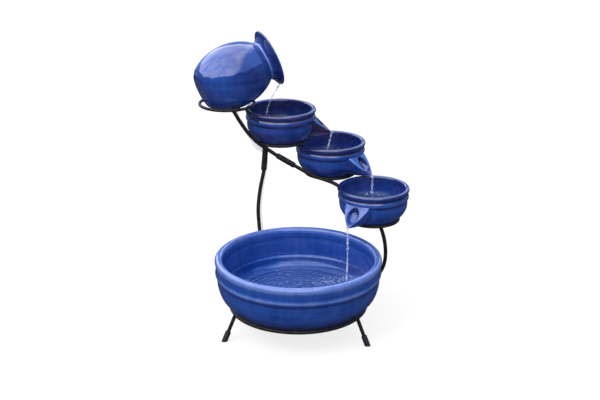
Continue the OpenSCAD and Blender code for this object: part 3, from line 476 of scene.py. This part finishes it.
def spout_bud():
    """The lump of clay that a spout is cut from: a bud, laid with its point at the spout's tip."""
    up = fall - math.radians(BUD_LEAN)
    widest = math.hypot(SPOUT_HALF_WIDTH, spout_len * math.sin(fall - up))
    outline = [(0, 0), (1.4, 0)]
    for i in range(1, 25):
        u = i / 24
        outline.append((widest * (1 - (1 - u) ** 1.6) + 1.2 * (1 - u) ** 4, BUD_LENGTH * u))
    bud = solid("spout", outline + [(0, BUD_LENGTH)], 96)
    tip = Matrix.Translation(metres(SPOUT_REACH, 0, -SPOUT_DROP))
    return place(bud, tip @ Matrix.Rotation(up - math.pi / 2, 4, "Y"))


def spout_glaze_and_light(p, facing):
    """The shade at a place in mm on the spout's face: pale on the face and its edge, partly thin glazing
    and partly painted highlight; in the hollow, painted shade near the root and painted reflection
    towards the tip; dark around the hollow's rim.
    """
    top = math.exp(-(min(0.0, p.z + 0.6) / 1.6) ** 2)
    edge = top * math.exp(-((facing - 0.72) / 0.24) ** 2)
    out_of_hollow = math.hypot((p.x - hollow_x) / HOLLOW_LONG, p.y / HOLLOW_WIDE)
    # In the hollow: painted shade near the root, growing paler as painted reflection towards the tip.
    if out_of_hollow < 1 and p.z < -1.2:
        towards_tip = min(1.0, max(0.0, (p.x - spout_len * 0.40) / (spout_len * 0.32)))
        shade = 0.34 + 0.26 * towards_tip
    else:
        # The face is a little paler on top and paler still on its edge: thin glazing, and also painted
        # highlight.
        shade = 0.44 + 0.10 * top
    shade += 0.52 * edge
    if top > 0.3:
        shade -= 0.60 * math.exp(-((out_of_hollow - 1.02) / 0.055) ** 2)
    return shade


def spout_shape(painted_shade):
    """The leaf as it is pressed on: a bud cut off flat, hollowed, softened and bent back at its sides."""
    spout = spout_bud()
    face = Matrix.Translation(metres(SPOUT_ROOT_X, 0, SPOUT_ROOT_Z)) @ Matrix.Rotation(fall, 4, "Y")
    # The flat face first, then the oval hollow, the groove from it to the tip and the hole into the bowl
    knife = solid("knife", [(0, 0), (120, 0), (120, 90), (0, 90)], 64)
    cut(spout, place(knife, face @ Matrix.Translation(metres(0, 0, 0.17))))
    hollow = [(0, -11), (6, -10.6), (9.4, -7.5), (11.4, -3), (12.6, 1.5), (14, 6), (0, 6)]
    oval = solid("oval", hollow, 64)
    stretch = Matrix.Diagonal((HOLLOW_STRETCH, 1.0, 1.0, 1.0))
    place(oval, Matrix.Translation(metres(hollow_x, 0, 0)) @ stretch)
    cut(spout, place(oval, face))
    groove_start = face @ metres(spout_len * 0.4, 0, 0.4)
    groove_end = face @ metres(spout_len * 1.4, 0, 1.2)
    cut(spout, drill("groove", groove_start, groove_end, GROOVE_R))
    cut(spout, spout_hole("mouth"))
    cut(spout, bowl_room())
    # Wet clay has no sharp edges once it has been wiped
    remesh = spout.modifiers.new("clay", "REMESH")
    remesh.mode = "VOXEL"
    remesh.voxel_size = CLAY_GRAIN / 1000
    remesh.use_smooth_shade = True
    soft = spout.modifiers.new("soft", "SMOOTH")
    soft.factor = 0.5
    soft.iterations = 9
    lean = spout.modifiers.new("lean", "DECIMATE")
    lean.ratio = 0.45
    baked_shape(spout)
    # The sides are pressed back towards the bowl, and the shade of the glazing, less the painted
    # shade, is laid over all of it
    back = face.inverted()
    turn, turn_back = face.to_3x3(), back.to_3x3()
    shades = spout.data.attributes.new("glaze", "FLOAT", "POINT")
    bent = []
    for vert, shade in zip(spout.data.vertices, shades.data):
        p = back @ vert.co * 1000
        shade.value = spout_glaze_and_light(p, (turn_back @ vert.normal).z) - painted_shade
        press = max(0.0, 1 + p.z / PRESS_DEPTH)
        bent.append(vert.co + turn @ metres(0, 0, -(p.y ** 2 / PRESS_CURVE) * press))
    for vert, co in zip(spout.data.vertices, bent):
        vert.co = co
    for polygon in spout.data.polygons:
        polygon.use_smooth = True
    return spout


def joined(pieces, name):
    """One ceramic piece from several shapes."""
    bm = bmesh.new()
    for piece in pieces:
        bm.from_mesh(piece.data)
        bpy.data.objects.remove(piece)
    return piece_from(bm, name)


bowl_at = {}
# The last number of each bowl is painted shade taken off its spout's glazing, most on the upper one.
for index, (which, azimuth, mottle, warmth, deep, painted_shade) in enumerate((
        ("upper", 3, 0.36, 0.60, 0.04, 0.24),
        ("middle", -37, 0.30, 0.35, 0.00, 0.04),
        ("lower", -121, 0.28, 0.28, -0.03, 0.0))):
    body = bowl_body(which + "_body", index * 1.7)
    cut(body, spout_hole("hole"))
    bowl = joined([body, spout_shape(painted_shade)], which + "_glazed_bowl")
    bowl_at[which] = Vector(joints[which + "_bowl_turn"]["pos_m"])
    aim = Matrix.Rotation(math.radians(azimuth), 4, "Z")
    place(bowl, Matrix.Translation(bowl_at[which]) @ aim)
    bowl.data.materials.append(glazed(which + "_glaze", 0.4 + index * 0.37, mottle, warmth, deep=deep))
    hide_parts(which + "_bowl")
    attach(bowl, which + "_bowl_body")

# ----------------------------------------------------------------------------------------------------
# Jar: an egg-shaped pot, thrown and cut flat at its base, with a flared collar. It lies tilted on the
# top ring, and the hose comes in through a rubber bush in its underside.

JAR_A, JAR_B, JAR_BASE, JAR_WALL = 91.0, 68.0, 75.0, 7
JAR_NECK, JAR_LIP, JAR_COLLAR = 71.0, 62.0, 20.0
JAR_TILT, JAR_AZ = math.radians(20.5), math.radians(23)
JAR_OVER_RING = (12.62, 5.36, 57.99)
BUSH_HOLE_R, DRILL_PAST = 8.0, 5

jar_ring_low, jar_ring_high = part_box("jar_ring")
jar_at = (jar_ring_low + jar_ring_high) / 2 + metres(*JAR_OVER_RING)
level = math.cos(JAR_TILT)
jar_axis = Vector((level * math.cos(JAR_AZ), level * math.sin(JAR_AZ), math.sin(JAR_TILT)))


def egg_radius(a, b, s):
    """The radius of an egg of half length a and greatest radius b, at s from its middle."""
    return b * math.sqrt(max(0.0, 1 - (s / a) ** 2))


def egg(a, b, start, end, steps, glaze):
    """The profile of an egg from start to end along its length."""
    line = []
    for i in range(steps + 1):
        s = start + (end - start) * i / steps
        line.append((egg_radius(a, b, s), s, glaze(i / steps)))
    return line


base_r = egg_radius(JAR_A, JAR_B, JAR_BASE)
neck_r = egg_radius(JAR_A, JAR_B, JAR_NECK)
inner_neck = egg_radius(JAR_A - JAR_WALL, JAR_B - JAR_WALL, JAR_NECK)
flare = JAR_LIP - neck_r
mouth = JAR_NECK + JAR_COLLAR
base = [(0, -JAR_BASE, 0.46), (base_r - 12, -JAR_BASE, 0.46), (base_r - 4.6, -JAR_BASE + 0.3, 0.46),
        (base_r - 0.4, -JAR_BASE + 1.6, 0.44), (base_r + 2.2, -JAR_BASE + 4.2, 0.46)]
belly = egg(JAR_A, JAR_B, -JAR_BASE + 8.0, JAR_NECK - 1.5, 46, lambda u: 0.46 + 0.06 * math.sin(u * 7))
collar = [(neck_r - 0.6, JAR_NECK + 1.2, 0.95),
          (neck_r + flare * 0.09, JAR_NECK + JAR_COLLAR * 0.22, 0.50),
          (neck_r + flare * 0.30, JAR_NECK + JAR_COLLAR * 0.45, 0.34),
          (neck_r + flare * 0.60, JAR_NECK + JAR_COLLAR * 0.65, 0.32),
          (neck_r + flare * 0.91, mouth - 4.0, 0.34)]
lip = [(JAR_LIP - 0.15, mouth - 2.3, 0.60), (JAR_LIP - 0.5, mouth - 0.7, 0.30),
       (JAR_LIP - 2.2, mouth - 0.05, 0.12), (JAR_LIP - 4.8, mouth - 0.8, 0.10)]
throat = [(neck_r + flare * 0.5, mouth - 3.6, 0.22), (neck_r + flare * 0.1, mouth - 8, 0.28),
          (inner_neck + 0.4, mouth - 14, 0.3), (inner_neck - 0.6, JAR_NECK + 2, 0.3)]
inside = egg(JAR_A - JAR_WALL, JAR_B - JAR_WALL, JAR_NECK - 1, -JAR_BASE + JAR_WALL + 2, 30,
             lambda u: 0.3 + 0.3 * u)
floor = [(20, -JAR_BASE + JAR_WALL + 0.2, 0.6), (0, -JAR_BASE + JAR_WALL, 0.6)]
line = rounded(base + belly + collar + lip + throat + inside + floor, 2)
jar = turned("glazed_jar", line, 220, wobble=0.003, seed=2.2)
place(jar, Matrix.Translation(jar_at) @ jar_axis.to_track_quat("Z", "Y").to_matrix().to_4x4())
bush_low, bush_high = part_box("jar_bush")
bush_at = (bush_low + bush_high) / 2
under_bush = Vector((bush_at.x, bush_at.y, bush_low.z - DRILL_PAST / 1000))
over_bush = Vector((bush_at.x, bush_at.y, bush_high.z + DRILL_PAST / 1000))
cut(jar, drill("bush_drill", under_bush, over_bush, BUSH_HOLE_R))
jar.data.materials.append(glazed("jar_glaze", 2.9, mottle=0.34, warmth=0.22, streak=40.0))
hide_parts("jar")
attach(jar, "jar_body")

# ----------------------------------------------------------------------------------------------------
# Stand: mild steel rod, bent hot, welded and painted black by hand. The rings carry the jar, the bowls
# and the basin; the rail and the posts hold them up. The rod isn't quite smooth, and brown shows where
# the paint is thin.

RING_ROD_R, BASIN_ROD_R, OUT_OF_TRUE = 3.25, 4.0, 0.0016

painted_steel, t = new_material("black_painted_steel")
where = t.out("TexCoord", output="Object")
hammer = t.grain(where, 95.0, 3.0, roughness=0.6)
fine = t.grain(where, 620.0, 2.0)
worn = t.math("MULTIPLY", t.mask(hammer, 0.52, 0.70), 0.55)
paint = t.mix(worn, (0.0130, 0.0105, 0.0070, 1), (0.058, 0.046, 0.032, 1))
gloss = t.math("ADD", 0.36, t.math("MULTIPLY", fine, 0.22))
bump = t.bump(t.math("ADD", hammer, t.math("MULTIPLY", fine, 0.25)), 0.45, 0.0008)
shader = t.out("BsdfPrincipled", {
    "Base Color": paint, "Roughness": gloss, "IOR": 1.5, "Specular IOR Level": 0.30, "Normal": bump})
t.add("OutputMaterial", {"Surface": shader})


def finish_node(name, material, angle=40, edge=0.0):
    """A piece kept as it is drawn: its finish, smooth round sides and, where it has one, a soft edge."""
    node = frame["nodes"][name]
    node.data.materials.clear()
    node.data.materials.append(material)
    for polygon in node.data.polygons:
        polygon.use_smooth = True
        polygon.material_index = 0
    if edge:
        bevel = node.modifiers.new("edge", "BEVEL")
        bevel.width = edge / 1000
        bevel.segments = 3
        bevel.limit_method = "ANGLE"
        bevel.angle_limit = math.radians(angle)
        bevel.harden_normals = False
    node.data.set_sharp_from_angle(angle=math.radians(angle))


def bent_ring(node, rod_r, seed):
    """A ring of rod whose two ends are butted and welded, so it is never quite true."""
    low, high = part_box(node)
    radius = (high.x - low.x) * 500 - rod_r
    line = []
    for k in range(20):
        angle = 2 * math.pi * k / 20
        line.append((radius + rod_r * math.cos(angle), rod_r * math.sin(angle), 0.5))
    ring = turned("bent_" + node, line, 160, closed=True)
    for vert in ring.data.vertices:
        angle = math.atan2(vert.co.y, vert.co.x)
        shrink = 1 - OUT_OF_TRUE * (1 + math.sin(3 * angle + seed)) / 2
        vert.co = Vector((vert.co.x * shrink, vert.co.y * shrink, vert.co.z))
    place(ring, Matrix.Translation((low + high) / 2))
    ring.data.materials.append(painted_steel)
    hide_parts(node)
    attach(ring, STAND)


for index, node in enumerate(("jar_ring", "upper_ring", "middle_ring", "lower_ring", "basin_ring")):
    bent_ring(node, BASIN_ROD_R if node == "basin_ring" else RING_ROD_R, index * 1.1)
for name in ("upper_rail", "lower_rail", "left_post", "right_post"):
    finish_node(name, painted_steel, angle=50)
for name in ("rail_sleeve", "left_post_socket", "left_leg", "right_leg", "rear_leg"):
    finish_node(name, painted_steel, edge=0.7)

# ----------------------------------------------------------------------------------------------------
# Rubber feet: black ferrules, moulded in one and pushed over the ends of the legs. They are scuffed
# and dull.


def moulded(name, colour, rough, grit=0.15):
    """Rubber or plastic out of a mould: a fine texture all over and slightly uneven gloss."""
    material, t = new_material(name)
    where = t.out("TexCoord", output="Object")
    fine = t.grain(where, 420.0, 3.0)
    broad = t.grain(where, 28.0, 3.0)
    dark = tuple(c * 0.8 for c in colour)
    light = tuple(min(1.0, c * 1.9 + 0.01) for c in colour)
    shade = t.ramp(broad, (0.35, dark), (0.72, light))
    dull = t.math("ADD", rough - 0.08, t.math("MULTIPLY", broad, 0.16))
    bump = t.bump(fine, grit, 0.0004)
    shader = t.out("BsdfPrincipled", {"Base Color": shade, "Roughness": dull, "IOR": 1.5, "Normal": bump})
    t.add("OutputMaterial", {"Surface": shader})
    return material


black_rubber = moulded("black_rubber", (0.014, 0.014, 0.014), 0.62, grit=0.3)
for name in ("left_foot", "right_foot", "rear_foot"):
    finish_node(name, black_rubber, angle=35, edge=1.2)

# ----------------------------------------------------------------------------------------------------
# Pump: a small submersible pump in black plastic, held to the basin's floor by suction cups. Its
# slotted cover slides off for cleaning the magnet rotor, and a slider over the slots sets the flow.

pump_black = moulded("pump_black", (0.020, 0.021, 0.023), 0.46)
for name in ("pump_housing", "impeller_cover", "intake_cover", "pump_outlet"):
    finish_node(name, pump_black, edge=0.5)
finish_node("flow_slider", moulded("slider_grey", (0.06, 0.063, 0.07), 0.42), edge=0.4)
finish_node("impeller", moulded("rotor_grey", (0.11, 0.115, 0.125), 0.40))
finish_node("impeller_shaft", moulded("shaft_white", (0.72, 0.70, 0.66), 0.22, grit=0.05))
for name in ("suction_cups", "cable_gland", "shaft_bushes"):
    finish_node(name, black_rubber)

# ----------------------------------------------------------------------------------------------------
# Hoses: clear soft vinyl tube. A short one joins the pump to a plastic fitting, sealed and nutted in
# the basin's floor. The long one climbs behind the left post, where a clip holds it, and the rail, and
# ends inside the jar, which it enters through a dark blue rubber bush.

clear_vinyl, t = new_material("clear_vinyl")
haze = t.grain(t.out("TexCoord", output="Object"), 60.0, 3.0)
rough = t.math("ADD", 0.12, t.math("MULTIPLY", haze, 0.22))
milky = t.ramp(haze, (0.3, (0.66, 0.72, 0.76)), (0.75, (0.84, 0.87, 0.89)))
tube = t.out("BsdfPrincipled", {"Base Color": milky, "Roughness": rough, "IOR": 1.35})
nothing = t.out("BsdfTransparent", {"Color": (0.97, 0.98, 0.99, 1)})
rim = t.out("LayerWeight", {"Blend": 0.35}, "Facing")
share = t.math("ADD", 0.07, t.math("MULTIPLY", rim, 0.28))
t.add("OutputMaterial", {"Surface": t.either(share, nothing, tube)})
for name in ("feed_hose", "pump_hose"):
    finish_node(name, clear_vinyl, angle=60)
for name in ("floor_fitting", "floor_nut"):
    finish_node(name, pump_black, edge=0.5)
finish_node("hose_clip", pump_black)
finish_node("floor_seal", black_rubber)
finish_node("jar_bush", moulded("navy_rubber", (0.008, 0.012, 0.040), 0.6))

# ----------------------------------------------------------------------------------------------------
# Water: it stands in the three bowls up to the holes of their spouts and lies shallow in the basin,
# and thin streams run from the jar's lip and from each spout into the vessel below.

BOWL_WATER_DROP, BOWL_WATER_R = 32.5, 62.6
BASIN_WATER_Z, BASIN_WATER_R = 104, 151.2

still_water, t = new_material("water")
where = t.out("TexCoord", output="Object")
bump = t.bump(t.grain(where, 70.0, 3.0), 0.25, 0.002)
glint = t.out("BsdfGlossy", {"Color": (1, 1, 1, 1), "Roughness": 0.04, "Normal": bump})
through = t.out("BsdfTransparent", {"Color": (0.78, 0.93, 1.0, 1)})
clear = t.either(t.out("Fresnel", {"IOR": 1.36, "Normal": bump}), through, glint)
bubbles = t.grain(where, 150.0, 4.0, roughness=0.7)
churn = t.out("Attribute", output="Fac", attribute_name="churn")
froth = t.math("MULTIPLY", churn, t.mask(bubbles, 0.40, 0.66, low=0.15))
white_water = t.ramp(bubbles, (0.50, (0.16, 0.28, 0.70)), (0.64, (0.72, 0.80, 0.96)))
foam = t.out("BsdfPrincipled", {"Base Color": white_water, "Roughness": 0.2, "Normal": bump})
t.add("OutputMaterial", {"Surface": t.either(froth, clear, foam)})


def water_sheet(name, centre, radius, body, drops, ripple, unrest):
    """A round sheet of water, with rings running out from where the drops fall. A drop is its place,
    how high it heaps the water and how far apart its rings are; ripple is how far they run."""
    swell_lift, swell_size, calm_edge = 0.45, 13, 6
    sheet = turned(name, [(radius * i / 60, 0, 0) for i in range(61)], 180)
    churned = sheet.data.attributes.new("churn", "FLOAT", "POINT")
    for vert, churn in zip(sheet.data.vertices, churned.data):
        x, y = vert.co.x * 1000, vert.co.y * 1000
        lift = swell_lift * noise.noise(Vector((x / swell_size, y / swell_size, radius)))
        for dx, dy, strength, length in drops:
            away = math.hypot(x - dx, y - dy)
            lift += strength * math.cos(2 * math.pi * away / length) * math.exp(-away / ripple)
        churn.value = unrest
        for dx, dy, strength, length in drops[:2]:
            near = math.hypot(x - dx, (y - dy) * 1.8) / (ripple * 0.75)
            churn.value += 0.75 * math.exp(-near ** 2)
        fade = min(1.0, (radius - math.hypot(x, y)) / calm_edge)
        vert.co.z = lift * fade / 1000
    if sheet.data.polygons[0].normal.z < 0:
        sheet.data.flip_normals()
    place(sheet, Matrix.Translation(centre))
    sheet.data.materials.append(still_water)
    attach(sheet, body)


for which, x, y in (("upper", -32, 20), ("middle", -9, -6), ("lower", 0, 48)):
    axis = bowl_at[which]
    centre = Vector((axis.x, axis.y, axis.z - BOWL_WATER_DROP / 1000))
    water_sheet(which + "_water", centre, BOWL_WATER_R, which + "_bowl_body", [(x, y, 0.6, 11)], 26, 0.20)
basin_drops = [(98, 0, 1.3, 13), (15, -75, 0.55, 12), (-40, 10, 0.25, 17)]
water_sheet("basin_water", mm(0, 0, BASIN_WATER_Z), BASIN_WATER_R, STAND, basin_drops, 70, 0.0)

running_water, t = new_material("running_water")
froth = t.grain(t.out("TexCoord", output="Object"), 260.0, 3.0)
bump = t.bump(froth, 0.6, 0.0015)
bright = t.out("BsdfPrincipled", {
    "Base Color": (0.80, 0.86, 0.97, 1), "Roughness": 0.08, "IOR": 1.33, "Normal": bump})
through = t.out("BsdfTransparent", {"Color": (0.86, 0.91, 1.0, 1)})
share = t.mask(froth, 0.42, 0.64, low=0.10, high=0.78)
t.add("OutputMaterial", {"Surface": t.either(share, through, bright)})


def stream(name, body, seed, splash, route):
    """A falling thread of water: it thins as it falls, twists, and breaks into beads near its foot.
    The route is points of (x, y, z, width) in millimetres, and splash is how far the beads fly."""
    chance = random.Random(seed)
    bm = bmesh.new()
    around, steps, beads = 12, 14, 9
    points = [mm(x, y, z) for x, y, z, width in route]
    widths = [width for x, y, z, width in route]
    rings = []
    for i in range(len(points) - 1):
        for k in range(steps):
            u = k / steps
            p = curve(*neighbours(points, i), u)
            width = widths[i] + (widths[i + 1] - widths[i]) * u
            bead = 1 + 0.28 * math.sin(len(rings) * 0.9 + seed) + 0.2 * chance.uniform(-1, 1)
            turn = len(rings) * 0.22
            ring = []
            for n in range(around):
                angle = 2 * math.pi * n / around
                r = width * bead * (1 + 0.35 * math.cos(2 * (angle - turn))) / 2000
                ring.append(bm.verts.new((p.x + r * math.cos(angle), p.y + r * math.sin(angle), p.z)))
            rings.append(ring)
    for low, high in zip(rings, rings[1:]):
        for n in range(around):
            bm.faces.new((low[n], low[(n + 1) % around], high[(n + 1) % around], high[n]))
    bm.faces.new(rings[0][::-1])
    bm.faces.new(rings[-1])
    for _ in range(beads):
        x, y = chance.uniform(-splash, splash), chance.uniform(-splash, splash)
        spot = points[-1] + Vector((x, y, chance.uniform(0.6, 7))) / 1000
        bead = bmesh.ops.create_icosphere(bm, subdivisions=2, radius=chance.uniform(0.5, 1.2) / 1000)
        bmesh.ops.translate(bm, verts=bead["verts"], vec=spot)
    bmesh.ops.recalc_face_normals(bm, faces=bm.faces)
    for face in bm.faces:
        face.smooth = True
    piece = piece_from(bm, name)
    piece.data.materials.append(running_water)
    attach(piece, body)


stream("jar_stream", "jar_body", 3, 9, (
    (-39, 268, 450, 5.0), (-44, 266.5, 441, 3.6), (-56.7, 262, 420, 2.4), (-65.5, 257, 399, 2.6),
    (-70, 253, 373.6, 3.4)))
stream("upper_stream", "upper_bowl_body", 5, 3.6, (
    (71.0, 237.7, 349.5, 5.0), (70.6, 237.6, 344, 3.2), (66, 238, 325, 3.2), (60, 238, 297, 4.2)))
stream("middle_stream", "middle_bowl_body", 8, 3.6, (
    (156.0, 178.4, 273, 5.2), (157.2, 177.6, 267, 3.4), (157.0, 177, 250, 3.2), (156.8, 176, 232, 4.2)))
stream("lower_stream", "lower_bowl_body", 12, 9, (
    (100.6, 34.3, 208, 5.4), (100, 32.6, 202, 3.6), (100.4, 22, 170, 2.8), (99.6, 9, 134, 2.8),
    (98, 0, 104.3, 4.0)))
